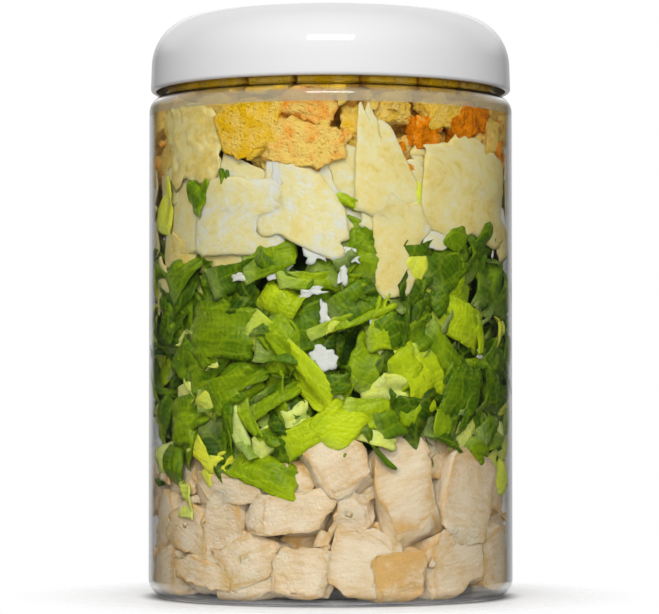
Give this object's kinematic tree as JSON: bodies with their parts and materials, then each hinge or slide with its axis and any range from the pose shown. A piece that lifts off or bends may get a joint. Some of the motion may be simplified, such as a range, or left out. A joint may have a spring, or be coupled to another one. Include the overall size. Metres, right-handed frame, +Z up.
{
  "type": "salad jar",
  "caption": "Clear cylindrical screw-top jar with a domed white lid, filled in layers with diced chicken, chopped romaine, shaved hard cheese and croutons.",
  "frame": {"origin": "centre of the ring under the base that the jar stands on", "axes": "+Z up along the jar's axis, -Y is the front, +X is to the right seen from the front"},
  "size_m": [0.102, 0.102, 0.1627],
  "materials": {
    "clear_plastic": "clear, polished",
    "white_plastic": "satin gloss",
    "chicken": "moist cooked meat",
    "lettuce": "crisp leaf, slightly glossy",
    "cheese": "dry broken cheese",
    "bread": "toasted, porous"
  },
  "bodies": {
    "root": {"jar": "clear_plastic", "lid": "white_plastic", "chicken": "chicken", "lettuce": "lettuce", "parmesan": "cheese", "croutons": "bread"}
  },
  "joints": []
}
